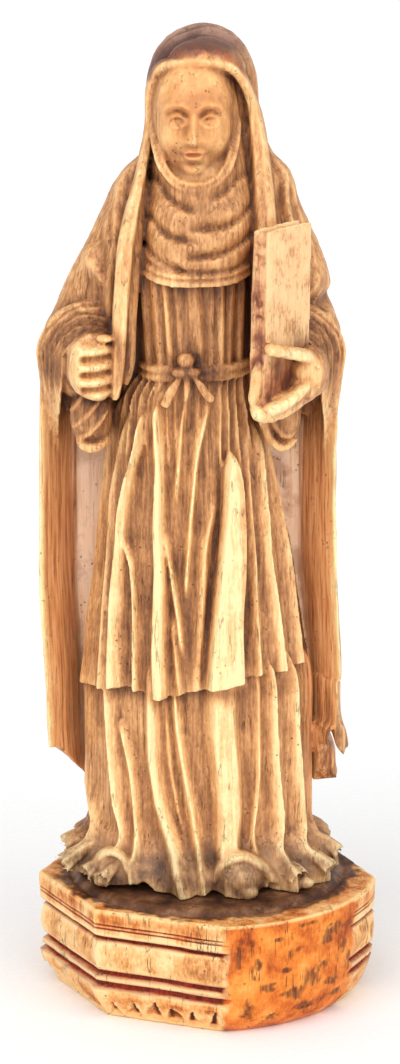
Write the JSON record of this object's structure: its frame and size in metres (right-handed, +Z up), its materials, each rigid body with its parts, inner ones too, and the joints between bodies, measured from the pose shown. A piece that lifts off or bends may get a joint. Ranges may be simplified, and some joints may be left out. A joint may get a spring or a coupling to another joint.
{
  "type": "ivory carving",
  "caption": "Standing robed and veiled figure holding a closed book, carved in ivory on a faceted ivory block with carved grooves and one plain round face.",
  "frame": {"origin": "under the middle of the block, on the plane it stands on", "axes": "+Z up through the figure, +X to the viewer's right, +Y away from the viewer, so the figure faces -Y"},
  "size_m": [0.0693, 0.0696, 0.2],
  "materials": {
    "ivory": null,
    "stained_ivory": "old ivory stained orange on its plain face, with red-brown paint in the grooves and a dark brown top"
  },
  "bodies": {
    "root": {"figure": "ivory", "plinth": "stained_ivory"}
  },
  "joints": []
}
